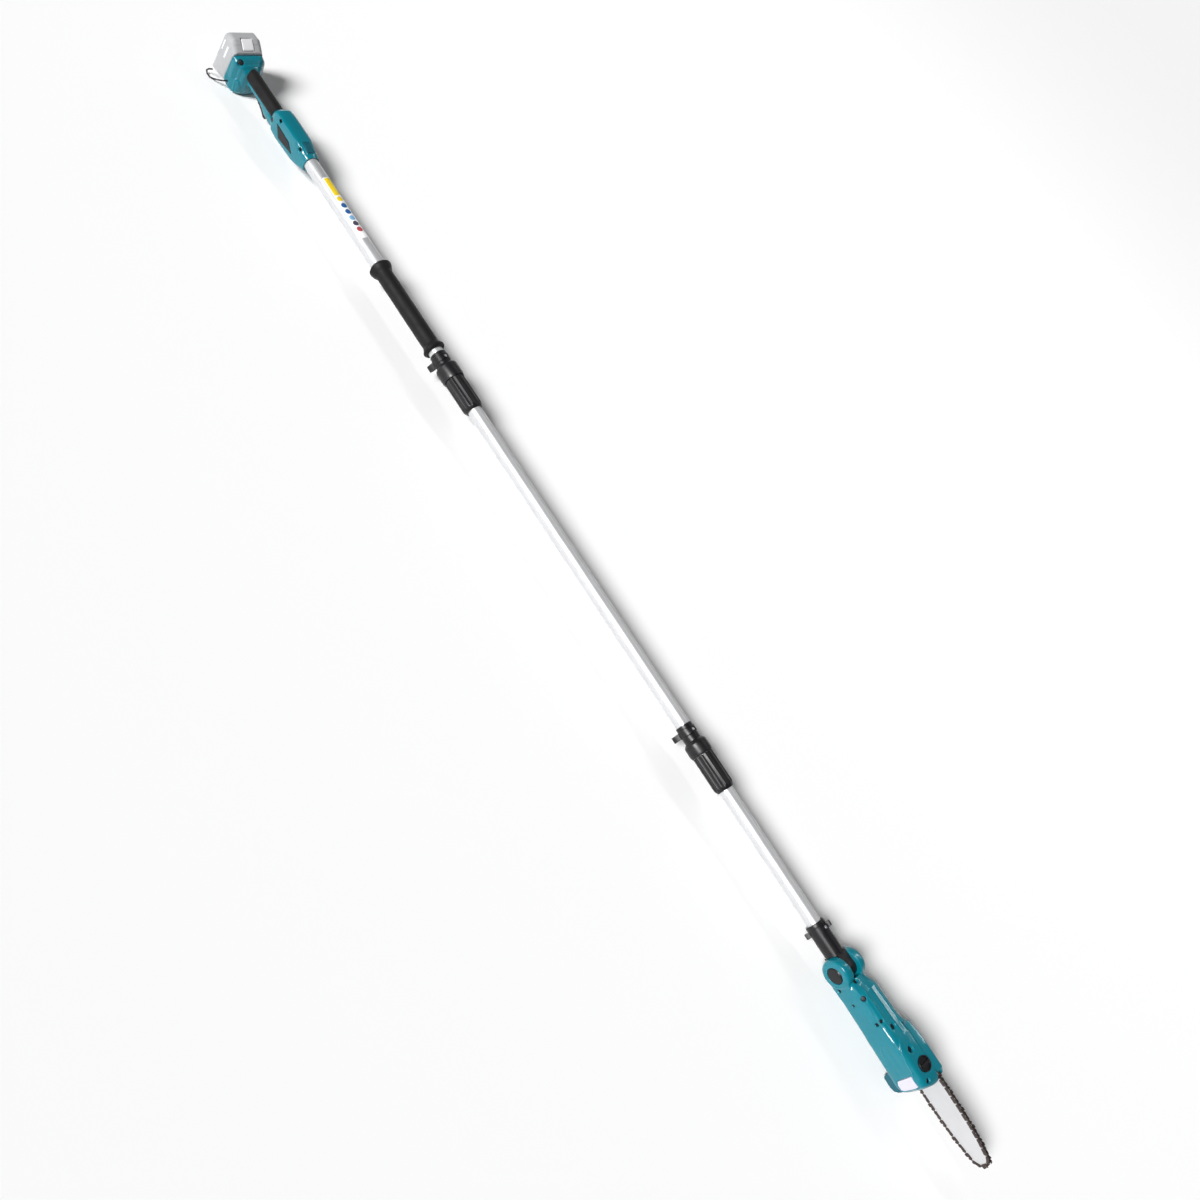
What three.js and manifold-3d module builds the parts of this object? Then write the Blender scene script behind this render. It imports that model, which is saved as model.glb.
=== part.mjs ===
// Telescoping pole saw: a battery and a two-part handle at the rear, three telescoping tubes with two
// twist locks, and a saw head on a tilting joint. Millimetres, +Y along the pole towards the saw head,
// +X to the tool's right, +Z up. Pieces are drawn around the pole's axis, and the last lines stand the
// tool on z = 0 with the middle of its footprint at the origin.
import * as THREE from "three";
import { mergeVertices } from "three/addons/utils/BufferGeometryUtils.js";
import Module from "manifold-3d";

const wasm = await Module();
wasm.setup();

// Driving dimensions.
const GAP = 0.3; // between pieces that touch
const WALL = 3; // moulded housings
const TUBE_WALL = 0.7;
const SLIDE_GAP = 0.1; // between one tube's bore and the next tube
const FRONT_R = 14.2; // front tube, outside
const MIDDLE_R = FRONT_R + SLIDE_GAP + TUBE_WALL;
const REAR_R = MIDDLE_R + SLIDE_GAP + TUBE_WALL;
const REAR_TUBE = [-1200, -563]; // first and last place along the pole
const MIDDLE_TUBE = [-700, 338];
const FRONT_TUBE = [190, 745];
const COLLAR_1 = -610; // rear end of each twist lock
const COLLAR_2 = 291;
const LUG_TURN = THREE.MathUtils.degToRad(48); // lugs point down to the right
const RIM_Y = -1421.5; // middle of the battery seat
const RIM_Z = -8.5;
const BATTERY_TILT = THREE.MathUtils.degToRad(-7.2);
const BATTERY_HALF = 37.5; // half its width
const GRIP_R = 15.2;
const LOCK_OFF_Y = -1264;
const HINGE_Y = 816; // head joint's axis
const EAR_R = 29.8;
const KNUCKLE_R = 20;
const KNUCKLE_HALF = 12;
const BAR_X = -20; // middle plane of the guide bar
const BAY_X = -14.5; // wall between the motor housing and the bar's bay
const SPROCKET_Y = 985;
const SPROCKET_R = 15;
const BAR_HALF = 29.2; // half the bar's height
const NOSE_Y = 1224;
const CHAIN_DEPTH = 3;
const NOSE_DEPTH = 6; // the chain stands taller round the nose
const CAP_X = 0.5; // oil cap
const CAP_Y = 1018.5;
const CAP_R = 14;
const LOW_Z = -53.6; // what the tool rests on
const ROUND = 36; // sides of a large circle
const SMALL_ROUND = 20;
const HOOP_SIDES = 32;
const FAR = 400; // reach of a cutting block, sideways
const END = 1600; // beyond either end of the tool

const look = (color, roughness, metalness = 0) =>
  new THREE.MeshStandardMaterial({ color, roughness, metalness });
const TEAL = look(0x10808f, 0.35);
const DARK_TEAL = look(0x0b6672, 0.45);
const RUBBER = look(0x232023, 0.85);
const BLACK = look(0x28262a, 0.55);
const GREY = look(0xb4b6b6, 0.5);
const PALE = look(0xebebeb, 0.45);
const SILVER = look(0xc9ccce, 0.3, 1);
const BAR_STEEL = look(0xe2e3e5, 0.4, 0.8);
const CHAIN_STEEL = look(0x463e3e, 0.45, 0.9);
const STEEL = look(0x8c8f92, 0.35, 1);
const COPPER = look(0x9a5a34, 0.4, 0.9);
const WINDOW = look(0xe3e3ea, 0.25);
const BOARD = look(0x2c5a3c, 0.6);

// Solids for cutting and joining.
function solid(geometry) {
  const bare = geometry.index ? geometry.toNonIndexed() : geometry.clone();
  bare.deleteAttribute("normal");
  bare.deleteAttribute("uv");
  const merged = mergeVertices(bare, 1e-4);
  const points = merged.attributes.position.array;
  const make = (triVerts) =>
    new wasm.Manifold(new wasm.Mesh({ numProp: 3, vertProperties: points, triVerts }));
  const faces = new Uint32Array(merged.index.array);
  const made = make(faces);
  return made.volume() > 0 ? made : make(faces.reverse());
}

const joined = (...solids) => solids.reduce((sum, one) => sum.add(one));
const cutBy = (body, ...tools) => tools.reduce((left, one) => left.subtract(one), body);

function placed(body, matrix) {
  return body.transform(matrix.elements);
}

function box(x0, x1, y0, y1, z0, z1) {
  const block = new THREE.BoxGeometry(x1 - x0, y1 - y0, z1 - z0);
  return solid(block.translate((x0 + x1) / 2, (y0 + y1) / 2, (z0 + z1) / 2));
}

function rodX(radius, x0, x1, y, z, sides = SMALL_ROUND) {
  const rod = new THREE.CylinderGeometry(radius, radius, x1 - x0, sides);
  return solid(rod.rotateZ(Math.PI / 2).translate((x0 + x1) / 2, y, z));
}

function rodY(radius, y0, y1, x = 0, z = 0, sides = SMALL_ROUND) {
  const rod = new THREE.CylinderGeometry(radius, radius, y1 - y0, sides);
  return solid(rod.translate(x, (y0 + y1) / 2, z));
}

function rodZ(radius, z0, z1, x, y, sides = SMALL_ROUND) {
  const rod = new THREE.CylinderGeometry(radius, radius, z1 - z0, sides);
  return solid(rod.rotateX(Math.PI / 2).translate(x, y, (z0 + z1) / 2));
}

// A solid of revolution about the pole's axis, from [radius, y] pairs.
function turned(profile, sides = ROUND) {
  return solid(new THREE.LatheGeometry(profile.map(([r, y]) => new THREE.Vector2(r, y)), sides));
}

const pipe = (outer, inner, y0, y1, sides = ROUND) =>
  turned([[inner, y0], [outer, y0], [outer, y1], [inner, y1], [inner, y0]], sides);

// The same about a line along X through (y, z), from [radius, x] pairs.
function turnedX(profile, y, z, sides = ROUND) {
  const matrix = new THREE.Matrix4().makeRotationZ(-Math.PI / 2).setPosition(0, y, z);
  return placed(turned(profile, sides), matrix);
}

function shapeOf(points) {
  return new THREE.Shape(points.map(([a, b]) => new THREE.Vector2(a, b)));
}

// An outline in the (y, z) plane, given thickness from x0 to x1, with an optional bevel all round.
function slabX(outline, x0, x1, bevel = 0) {
  const shape = Array.isArray(outline) ? shapeOf(outline) : outline;
  const slab = new THREE.ExtrudeGeometry(shape, {
    depth: x1 - x0 - 2 * bevel,
    curveSegments: 10,
    bevelEnabled: bevel > 0,
    bevelThickness: bevel,
    bevelSize: bevel,
    bevelOffset: -bevel,
    bevelSegments: 2,
  });
  const [x, y, z] = [0, 1, 2].map((axis) => new THREE.Vector3().setComponent(axis, 1));
  slab.applyMatrix4(new THREE.Matrix4().makeBasis(y, z, x));
  return solid(slab.translate(x0 + bevel, 0, 0));
}

// An outline in the (x, z) plane, given length from y0 to y1.
function slabY(outline, y0, y1) {
  const shape = Array.isArray(outline) ? shapeOf(outline) : outline;
  const slab = new THREE.ExtrudeGeometry(shape, {
    depth: y1 - y0,
    curveSegments: 8,
    bevelEnabled: false,
  });
  return solid(slab.rotateX(Math.PI / 2).translate(0, y1, 0));
}

// One closed section of a moulded housing at y: a rounded rectangle of the given squareness, with
// another squareness for its upper half if roof is given.
function hoop(y, half, low, high, squareness = 3.4, shift = 0, roof = squareness) {
  const middle = (low + high) / 2;
  const reach = (high - low) / 2;
  return Array.from({ length: HOOP_SIDES }, (_, i) => {
    const turn = (i / HOOP_SIDES) * 2 * Math.PI;
    const exponent = 2 / (Math.sin(turn) > 0 ? roof : squareness);
    const power = (value) => Math.sign(value) * Math.abs(value) ** exponent;
    return new THREE.Vector3(
      shift + half * power(Math.cos(turn)), y, middle + reach * power(Math.sin(turn)));
  });
}

// A closed skin over a row of sections with the same number of points.
function loft(sections) {
  const count = sections[0].length;
  const triangles = [];
  const face = (...corners) => triangles.push(...corners);
  for (let s = 0; s + 1 < sections.length; s++) {
    for (let i = 0; i < count; i++) {
      const next = (i + 1) % count;
      face(sections[s][i], sections[s][next], sections[s + 1][i]);
      face(sections[s][next], sections[s + 1][next], sections[s + 1][i]);
    }
  }
  const cap = (ring, reversed) => {
    const centre = ring.reduce((sum, p) => sum.add(p), new THREE.Vector3()).divideScalar(count);
    ring.forEach((point, i) => {
      const next = ring[(i + 1) % count];
      if (reversed) face(centre, next, point);
      else face(centre, point, next);
    });
  };
  cap(sections[0], true);
  cap(sections[sections.length - 1], false);
  return solid(new THREE.BufferGeometry().setFromPoints(triangles));
}

const rightHalf = box(GAP / 2, FAR, -END, END, -FAR, FAR);
const leftHalf = box(-FAR, -GAP / 2, -END, END, -FAR, FAR);

const tool = new THREE.Group();

function piece(name, body, material, group = tool) {
  const mesh = body.getMesh();
  const geometry = new THREE.BufferGeometry();
  geometry.setAttribute("position", new THREE.BufferAttribute(mesh.vertProperties, mesh.numProp));
  geometry.setIndex(new THREE.BufferAttribute(mesh.triVerts, 1));
  geometry.computeVertexNormals();
  const made = new THREE.Mesh(geometry, material);
  made.name = name;
  group.add(made);
  return body;
}

// Battery, drawn from its seat: +Y towards the housing, the pack behind y = 0, +Z up its length.
function batteryProfile(inset) {
  return [
    [-46.4 + inset, -50.2 + inset],
    [-46.4 + inset, 50 - inset],
    [-24, 55 - inset],
    [-GAP, 40.5 - inset],
    [-GAP, -37.8 + inset],
  ];
}

function buildBattery() {
  const group = new THREE.Group();
  group.position.set(0, RIM_Y, RIM_Z);
  group.rotation.x = BATTERY_TILT;
  tool.add(group);

  const block = slabX(batteryProfile(0), -BATTERY_HALF, BATTERY_HALF, 3);
  const split = -14;
  const behind = box(-FAR, FAR, -FAR, split - GAP, -FAR, FAR);
  const ahead = box(-FAR, FAR, split, FAR, -FAR, FAR);
  const hollow = slabX(batteryProfile(2.6), -BATTERY_HALF + 2.8, BATTERY_HALF - 2.8);
  const button = [[-25.4, 49], [-24, 56.4], [-7, 46.4], [-4.6, 44], [-4.6, 37.6], [-23, 48.4]];
  const pocket = slabX(
    [[-27.4, 45.5], [-27.4, 60], [-4, 60], [-4, 34], [-22, 44.6]], -13.3, 13.3);
  piece("battery_case", cutBy(block.intersect(behind), hollow, pocket), GREY, group);

  const channel = box(-27, 27, -9.4, 5, -60, 26);
  piece(
    "battery_rail_plate", cutBy(block.intersect(ahead), channel, pocket), GREY, group);
  piece("battery_latch_button", slabX(button, -12.8, 12.8, 1), PALE, group);

  const cells = [-2, -1, 0, 1, 2].map((n) => rodX(8.5, -33, 33, -32.2, 1 + 17.3 * n, 16));
  const holders = [-24, 24].map((x) => box(x - 2, x + 2, -36, -28, -41, 43));
  piece("battery_cells", joined(...cells, ...holders), COPPER, group);
}

// Rear handle: battery seat, grip core, trigger root and front housing in one outline.
const seat = (grow = 0) => loft([
  hoop(-1436, 38.4 + grow, -46 - grow, 27 + grow, 8),
  hoop(-1418, 38.4 + grow, -50 - grow, 26.5 + grow, 8),
  hoop(-1408, 37.8 + grow, -53 - grow, 25.4 + grow, 6),
  hoop(-1398, 33.4 + grow, -53.4 - grow, 21.5 + grow, 4.6),
  hoop(-1390.5 + grow, 28 + grow, -52 - grow, 17 + grow, 3.6),
  hoop(-1384 + grow, 21 + grow, -47 - grow, 10 + grow, 3),
  hoop(-1380 + grow, 13 + grow, -40 - grow, -4 + grow, 2.6),
]);

// The seat's lower half runs further forward than its shoulders do.
const belly = (grow = 0) => loft([
  hoop(-1416, 37.5 + grow, -52 - grow, -10 + grow, 6),
  hoop(-1408, 37.4 + grow, LOW_Z - grow, -10 + grow, 6),
  hoop(-1395 + grow, 34.5 + grow, LOW_Z - grow, -12 + grow, 5),
  hoop(-1389 + grow, 30 + grow, -51.5 - grow, -14 + grow, 4.2),
  hoop(-1384.5 + grow, 23.5 + grow, -47 - grow, -20 + grow, 3.4),
  hoop(-1382.5 + grow, 15 + grow, -41 - grow, -26 + grow, 3),
]);

const seatHollow = () => loft([
  hoop(-1440, 35, -43, 23.5, 8),
  hoop(-1418, 35, -46.5, 23, 8),
  hoop(-1408, 34.4, -49.5, 22, 6),
  hoop(-1398, 29.6, -49.5, 17.5, 4.6),
  hoop(-1390, 22, -46, 11, 3.6),
]);

const triggerRoot = () => loft([
  hoop(-1334, 8.5, -21, -10.2, 3),
  hoop(-1318, 9.6, -27, -10.2, 3),
  hoop(-1304, 10.8, -32.5, -10.2, 3.2),
  hoop(-1273, 14.5, -31.5, -10.2, 3.2),
  hoop(-1262, 17, -28, 12, 3.2),
]);

const frontBody = (grow = 0) => loft([
  hoop(-1273 - grow, 14 + grow, -16 - grow, 14 + grow, 2.4),
  hoop(-1267 - grow, 18 + grow, -24 - grow, 18.8 + grow, 3.4),
  hoop(-1259, 20.6 + grow, -31 - grow, 23.8 + grow, 4.8),
  hoop(-1238, 20.8 + grow, -33.5 - grow, 24.8 + grow, 5.4),
  hoop(-1172, 20.8 + grow, -30 - grow, 24.8 + grow, 5.4),
  hoop(-1150, 19.6 + grow, -26 - grow, 21.5 + grow, 4),
  hoop(-1130, 18 + grow, -21 - grow, 18 + grow, 2.6),
]);

const frontHollow = () => loft([
  hoop(-1258, 14, -21, 16, 2.8),
  hoop(-1251, 17.2, -27, 20.6, 4.4),
  hoop(-1238, 17.5, -30, 21.4, 5.2),
  hoop(-1196, 17.5, -28, 21.2, 5.2),
]);

const INLAY = [[-1243, 4.5], [-1193, 2], [-1174, -12.5], [-1226, -19]];
// The screws' pockets: y, z, where the floor is in x, radius.
const HANDLE_SCREWS = [[-1399, 19.5, 27, 5.2], [-1237, 16.5, 12, 4.4], [-1157, 15.5, 14.5, 4.4]];

const inlayShape = (scale) => INLAY.map(([y, z]) => [-1209 + (y + 1209) * scale, -6 + (z + 6) * scale]);

const onRim = (solid) => placed(
  solid, new THREE.Matrix4().makeRotationX(BATTERY_TILT).setPosition(0, RIM_Y, RIM_Z));

function buildHandleHousing() {
  const rimCut = onRim(box(-FAR, FAR, -FAR, 0, -FAR, FAR));
  const rimPlate = onRim(box(-36, 36, 0, WALL, -38, 34));
  const terminalHole = onRim(box(-22.4, 22.4, -FAR, 8, -28.4, 20.4));
  const core = joined(rodY(12.2, -1392, -1262, 0, 0, ROUND), box(-10.5, 10.5, -1385, -1290, -19, -9));
  const skin = joined(cutBy(joined(seat(), belly()), rimCut), core, triggerRoot(), frontBody());
  const hollow = joined(
    seatHollow(), rodY(9.6, -1398, -1250, 0, 0, SMALL_ROUND), frontHollow());
  const inlays = [-1, 1].map((side) => {
    const reach = [side * 18.5, side * 30].sort((a, b) => a - b);
    return slabX(inlayShape(1.04), ...reach);
  });
  const screwPits = HANDLE_SCREWS.map(([y, z, x, radius]) => rodX(radius, x, 60, y, z));
  const shell = joined(cutBy(skin, hollow), cutBy(rimPlate.intersect(seat()), rimCut));
  const housing = cutBy(
    shell,
    terminalHole,
    box(-6.3, 6.3, -1383, -1289, -46, -4), // trigger slot
    rodY(REAR_R + GAP, REAR_TUBE[0] - GAP, -1100, 0, 0, ROUND),
    rodX(5.4, -60, 60, LOCK_OFF_Y, -5),
    slabX(powerShape(0.4), -8.4, 8.4),
    rodX(2.1, 30, 60, -1412, -36), // hanging hook's pivot
    ...inlays,
    ...screwPits);
  piece("rear_housing_right", housing.intersect(rightHalf), TEAL);
  piece("rear_housing_left", housing.intersect(leftHalf), TEAL);
}

function buildHandleTrim() {
  const sleeve = pipe(GRIP_R, 12.5, -1396, -1267);
  piece(
    "grip_sleeve",
    cutBy(
      sleeve,
      joined(seat(GAP), belly(GAP)),
      box(-FAR, FAR, -1400, -1200, -FAR, -8.7),
      frontBody(GAP)),
    RUBBER);
  [[-1, "left"], [1, "right"]].forEach(([side, name]) => {
    const reach = [side * 18.9, side * 21.4].sort((a, b) => a - b);
    piece("side_inlay_" + name, slabX(inlayShape(1), ...reach, 0.5), BLACK);
  });
  HANDLE_SCREWS.slice(0, 2).forEach(([y, z, x], i) => {
    const head = cutBy(rodX(3.4, x + GAP, x + 3, y, z), rodX(1.5, x + 1.2, x + 5, y, z, 6));
    piece("housing_screw_" + (i + 1), head, STEEL);
  });
}

function buildControls() {
  piece(
    "trigger",
    slabX(
      [[-1366, -21], [-1365, -24.5], [-1342, -26.5], [-1322, -33.5], [-1311, -41], [-1303, -41.5],
        [-1291, -27], [-1291, -12], [-1362, -13.5]], -5.6, 5.6, 0.8),
    BLACK);
  piece("lock_off_button", rodX(5, -17, 18.4, LOCK_OFF_Y, -5), BLACK);
  piece("power_button", slabX(powerShape(0), -8, 8, 0.8), TEAL);
  piece("main_switch", box(-6, 6, -1350, -1304, -6, 6.5), BLACK);
  piece("control_board", box(-11, 11, -1252, -1206, -14, 9), BOARD);
}

function buildHandle() {
  buildHandleHousing();
  buildHandleTrim();
  buildControls();
  buildTerminals();
  buildHook();
}

// The rocker on the sloping top, just above the pole.
function powerShape(grow) {
  const floor = grow ? 10 : REAR_R + 1.4;
  const roof = grow ? 20 : 0;
  return [
    [-1168 - grow, floor], [-1168 - grow, 25.6 + roof], [-1160, 25 + roof], [-1150, 23 + roof],
    [-1142 + grow, 21.4 + roof], [-1142 + grow, floor]];
}

function buildTerminals() {
  const block = joined(box(-22, 22, -8.8, 7, -28, 20), box(-25, 25, -8.8, -1, -24, 18));
  const slots = [-14, -5, 5, 14].map((x) => box(x - 1.2, x + 1.2, -12, -2, -40, 12));
  const seatFrame = new THREE.Matrix4().makeRotationX(BATTERY_TILT).setPosition(0, RIM_Y, RIM_Z);
  piece("terminal_block", placed(cutBy(block, ...slots), seatFrame), BLACK);
}

// A wire loop that hangs the tool up. Its straight end turns in the seat's right wall.
function buildHook() {
  const route = new THREE.CatmullRomCurve3(
    [[33, -1412, -36], [44, -1412, -36], [50, -1418, -40], [57, -1430, -47], [60, -1441, -51],
      [60.5, -1451, -51], [59.5, -1457, -47.5], [57.5, -1452, -40], [56, -1444, -34]].map(
      (p) => new THREE.Vector3(...p)),
    false, "catmullrom", 0.2);
  const section = new THREE.Shape().absarc(0, 0, 1.7, 0, 2 * Math.PI);
  const wire = new THREE.ExtrudeGeometry(section, {
    steps: 28, curveSegments: 4, extrudePath: route, bevelEnabled: false,
  });
  piece("wire_hook", solid(wire), STEEL);
}

// Tubes, the foam grip and the two twist locks.
function buildPole() {
  piece("rear_tube", pipe(REAR_R, REAR_R - TUBE_WALL, ...REAR_TUBE), SILVER);
  piece("middle_tube", pipe(MIDDLE_R, MIDDLE_R - TUBE_WALL, ...MIDDLE_TUBE), SILVER);
  piece("front_tube", pipe(FRONT_R, FRONT_R - TUBE_WALL, ...FRONT_TUBE), SILVER);
  [["middle", MIDDLE_R, MIDDLE_TUBE], ["front", FRONT_R, FRONT_TUBE]].forEach(([name, radius, ends]) =>
    piece(name + "_guide_bush", pipe(radius, 10, ends[0] - 16, ends[0] - GAP), BLACK));
  const bore = REAR_R + GAP;
  const foam = [
    [bore, -848], [20, -847], [24.5, -842.5], [24.5, -838], [20.5, -828], [17.8, -824],
    [17.8, -638], [19.5, -633.5], [23.6, -626.5], [23.8, -623.5], [20.5, -620], [bore, -619.5],
    [bore, -848]];
  piece("foam_grip", turned(foam), RUBBER);
  buildCollar("rear", COLLAR_1, REAR_R, MIDDLE_R, 24.2, 28);
  buildCollar("front", COLLAR_2, MIDDLE_R, FRONT_R, 23.2, 34);
  piece("supply_lead_rear", rodY(3, -1196, -745, 0, 0, 8), BLACK);
  piece("supply_lead_front", rodY(3, 250, 775, 0, 0, 8), BLACK);
}

function buildCollar(name, y, outerTube, innerTube, barrel, shoulder) {
  const bore = outerTube + GAP;
  const nutStart = y + 65.6;
  const sleeveR = barrel - 2.6;
  const base = turned([
    [bore, y], [bore + 1.6, y], [bore + 1.6, y + 7], [bore + 2.8, y + 8], [bore + 2.8, y + 21],
    [bore + 1.6, y + 22.5], [bore + 1.6, y + shoulder], [barrel - 1, y + shoulder + 5],
    [barrel, y + shoulder + 8],
    [barrel, y + 60], [barrel - 1.4, y + 65], [bore, y + 65], [bore, y]]);
  const lugTurn = new THREE.Matrix4().makeRotationY(LUG_TURN);
  const lug = slabY([[10, -6], [24, -5], [30, -4], [32.5, -2], [32.5, 2], [30, 4], [24, 5], [10, 6]],
    y + 8.5, y + 20.5);
  const boss = rodZ(5.6, 10, bore + 4.6, 0, y + 16);
  const screwWay = rodZ(3.7, bore + 1, 40, 0, y + 16);
  const whole = joined(base, placed(lug, lugTurn), boss);
  piece(
    name + "_collar_base",
    cutBy(whole, rodY(bore, y - 9, y + 90, 0, 0, ROUND), screwWay), BLACK);
  const screw = cutBy(
    rodZ(3.3, bore + 1.3, bore + 4, 0, y + 16), rodZ(1.4, bore + 2.6, 40, 0, y + 16, 6));
  piece(name + "_collar_screw", screw, STEEL);

  const collet = cutBy(
    pipe(innerTube + 2.6, innerTube + GAP, y + 66, y + 130),
    ...[0, 1].map((n) =>
      placed(box(-FAR, FAR, y + 84, y + 140, -1, 1), new THREE.Matrix4().makeRotationY(n * 1.5708))));
  piece(name + "_collet", collet, PALE);

  const flutes = 12;
  const ring = Array.from({ length: flutes * 4 }, (_, i) => {
    const radius = i % 4 < 2 ? sleeveR : sleeveR - 1.3;
    const turn = ((i + 0.5) / (flutes * 4)) * 2 * Math.PI;
    return [radius * Math.cos(turn), radius * Math.sin(turn)];
  });
  const nutEnd = nutStart + 78;
  const rounding = turned([
    [0, nutStart], [sleeveR, nutStart], [sleeveR, nutEnd - 9], [sleeveR - 1.8, nutEnd - 4],
    [sleeveR - 4, nutEnd], [0, nutEnd]]);
  const nut = cutBy(
    slabY(ring, nutStart, nutEnd).intersect(rounding),
    rodY(innerTube + 3, nutStart - 1, nutStart + 68, 0, 0, ROUND),
    rodY(innerTube + GAP, nutStart - 1, nutEnd + 1, 0, 0, ROUND));
  piece(name + "_lock_nut", nut, BLACK);
}

// Yoke on the front tube's end, with the knuckle between the head's ears.
function buildYoke() {
  const sleeve = turned([
    [0, 722], [18.4, 722], [19.2, 724], [19.2, 729], [18.8, 731], [18.8, 790], [14, 797], [0, 797]]);
  const lugs = placed(
    slabY([[-26, -2.5], [-24, -5], [25, -5], [27.5, -2.5], [27.5, 2.5], [25, 5], [-24, 5], [-26, 2.5]],
      731, 741),
    new THREE.Matrix4().makeRotationY(LUG_TURN));
  const neck = slabX([[786, -18], [814, -19.5], [814, 19.5], [786, 18]], -KNUCKLE_HALF, KNUCKLE_HALF);
  const knuckle = rodX(KNUCKLE_R, -KNUCKLE_HALF, KNUCKLE_HALF, HINGE_Y, 0, ROUND);
  const boss = rodZ(5.5, 10, 22, 0, 737);
  const yoke = cutBy(
    joined(sleeve, lugs, neck, knuckle, boss),
    rodY(FRONT_R + GAP, 700, 745 + GAP, 0, 0, ROUND),
    rodY(7, 740, 790),
    rodZ(3.7, 17.2, 40, 0, 737),
    rodX(6.3, -30, 30, HINGE_Y, 0),
    ...[-FAR, KNUCKLE_HALF].map((x) => rodX(EAR_R + 0.8, x, x + FAR - KNUCKLE_HALF, HINGE_Y, 0, ROUND)));
  piece("yoke", yoke, BLACK);
  piece("yoke_screw", cutBy(rodZ(3.3, 17.5, 20.8, 0, 737), rodZ(1.5, 19, 30, 0, 737, 6)), STEEL);
  piece("hinge_bolt", rodX(6, -17.5, 17.5, HINGE_Y, 0), STEEL);
  const button = (side) => turnedX(
    [[0, side * 22], [15.8, side * 22], [15.8, side * 29.6], [14, side * 31.2], [0, side * 31.6]],
    HINGE_Y, 0);
  piece("tilt_lock_button", button(1), BLACK);
  piece("hinge_cap", button(-1), BLACK);
}

// Saw head: a fork of two round ears, then the motor housing, then the oil tank beside the bar.
const headBody = (inset = 0) => loft([
  hoop(838 + inset, 25.5 - inset, -24 + inset, 18 - inset, 5, 2.5, 3.4),
  hoop(850, 27 - inset, -26 + inset, 22 - inset, 5.6, 2, 3.6),
  hoop(866, 29 - inset, -27.4 + inset, 29.5 - inset, 6.5, 0.5, 4),
  hoop(930, 29.5 - inset, -28 + inset, 31.5 - inset, 7, 0, 4),
  hoop(944, 31 - inset, -28 + inset, 33.6 - inset, 7, 0, 4.6),
  hoop(960, 32 - inset, -27 + inset, 36 - inset, 7, 0, 5.2),
  hoop(1000, 32.5 - inset, -28 + inset, 37.4 - inset, 7, 0, 5.6),
  hoop(1034, 32.5 - inset, -30 + inset, 37.6 - inset, 6.4, 0, 5.6),
  hoop(1045 - inset, 30.8 - inset, -26 + inset, 36 - inset, 5.6),
  hoop(1050 - inset, 26 - inset, -22 + inset, 34.5 - inset, 4.6, -1),
  hoop(1055 - inset, 20 - inset, -17 + inset, 32 - inset, 3.8, -6),
  hoop(1059 - inset, 13 - inset, -8 + inset, 27 - inset, 3, -10),
]);

const COVER = [
  [944, -16], [950, -28], [962, -35], [990, -38.5], [1040, -38.5], [1052, -35], [1058, -26],
  [1059, 20], [1055, 29], [1045, 35.8], [1000, 35.8], [975, 34], [952, 29], [944, 18]];

const WINDOW_EDGE = [
  [1021.5, 24], [1042, 24], [1043.6, 17], [1043.2, -10], [1040, -17], [1030, -17.5], [1023.5, -13]];

function buildHead() {
  const ears = [-1, 1].map((side) => {
    const disc = turnedX(
      [[0, side * 12.4], [EAR_R, side * 12.4], [EAR_R, side * 23.5], [EAR_R - 1.6, side * 27.8],
        [EAR_R - 5.5, side * 30.4], [0, side * 30.8]], HINGE_Y, 0);
    const reach = [side * 12.4, side > 0 ? 28.4 : -24.5].sort((a, b) => a - b);
    const arm = slabX([[822, -27], [864, -25], [864, 17], [846, 14.5], [822, 18]], ...reach, 3);
    const floor = side > 0 ? 17.6 : 21.2; // the right-hand cap is a button, with room to press in
    const socket = [side * floor, side * 40].sort((a, b) => a - b);
    return cutBy(
      joined(disc, arm), rodX(16.3, ...socket, HINGE_Y, 0, ROUND),
      rodX(6.3, -40, 40, HINGE_Y, 0));
  });
  const clearKnuckle = rodX(
    KNUCKLE_R + 0.8, -KNUCKLE_HALF - 0.4, KNUCKLE_HALF + 0.4, HINGE_Y, 0, ROUND);
  const barBay = box(-FAR, BAY_X, 944, END, -FAR, FAR);
  const mainHollow = cutBy(headBody(WALL), box(-FAR, BAY_X + WALL, 941, END, -FAR, FAR));
  const leadWay = rodY(6, 830, 850);
  const windowHole = slabX(WINDOW_EDGE.map(([y, z]) => [
    y + Math.sign(y - 1034) * 0.4, z + Math.sign(z - 3) * 0.4]), 20, 60);
  const capWell = joined(
    rodZ(CAP_R + 0.6, 33, 60, CAP_X, CAP_Y, ROUND), rodZ(10, 24, 60, CAP_X, CAP_Y));
  const shell = cutBy(
    headBody(), mainHollow, barBay, leadWay, windowHole, capWell, clearKnuckle,
    rodX(9.3, -30, -5, SPROCKET_Y, 0), rodX(4.3, -30, -5, 1036, 0));
  const whole = [joined(shell.intersect(leftHalf), ears[0]), joined(shell.intersect(rightHalf), ears[1])];
  piece("head_housing_left", cutBy(whole[0], clearKnuckle), TEAL);
  piece("head_housing_right", cutBy(whole[1], clearKnuckle), TEAL);

  const hookProfile = [
    [1012, -31], [1011.5, -44], [1014, -51], [1018, LOW_Z], [1037, LOW_Z], [1045, -50],
    [1049, -42], [1050, -33], [1048, -20], [1020, -20]];
  piece(
    "branch_hook",
    cutBy(
      slabX(hookProfile, -10, 20, 2), headBody(),
      placed(headBody(), new THREE.Matrix4().makeTranslation(0, 0, -GAP)),
      box(-FAR, FAR, 1000, END, -26, 0)),
    DARK_TEAL);
  buildDrive();
  buildCutter();
  buildOil();
}

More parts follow.
